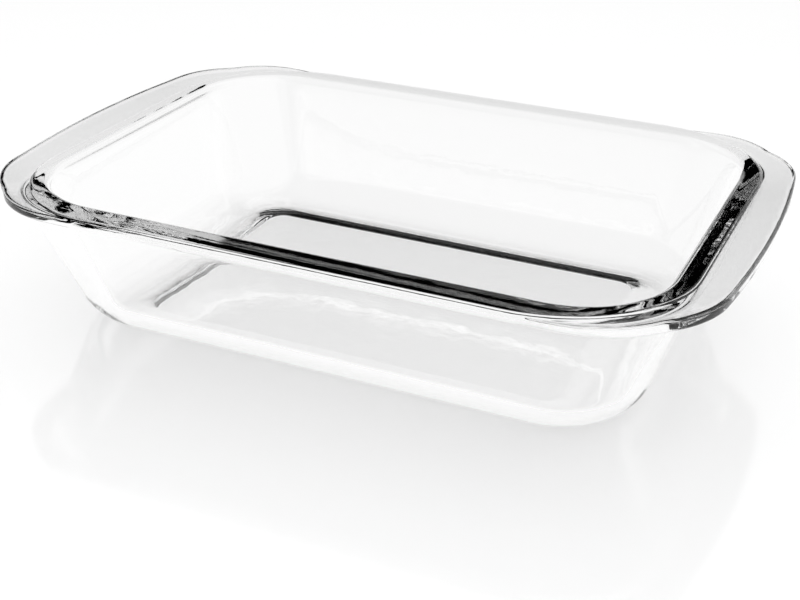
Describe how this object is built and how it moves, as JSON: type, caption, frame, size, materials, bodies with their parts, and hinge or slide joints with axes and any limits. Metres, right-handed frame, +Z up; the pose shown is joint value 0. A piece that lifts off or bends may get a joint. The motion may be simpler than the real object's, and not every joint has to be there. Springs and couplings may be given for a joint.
{
  "type": "lasagna dish",
  "caption": "Clear pressed-glass oven dish: deep rectangular pan with sloping walls, rounded rim and a flat handle tab at each end.",
  "frame": {"origin": "on the surface that the dish stands on, under the middle of the dish", "axes": "+X along the dish from handle to handle, +Y across it, +Z up out of the dish"},
  "size_m": [0.342, 0.232, 0.0692],
  "materials": {
    "glass": "clear, fire-polished"
  },
  "bodies": {
    "root": {"glass_dish": "glass"}
  },
  "joints": []
}
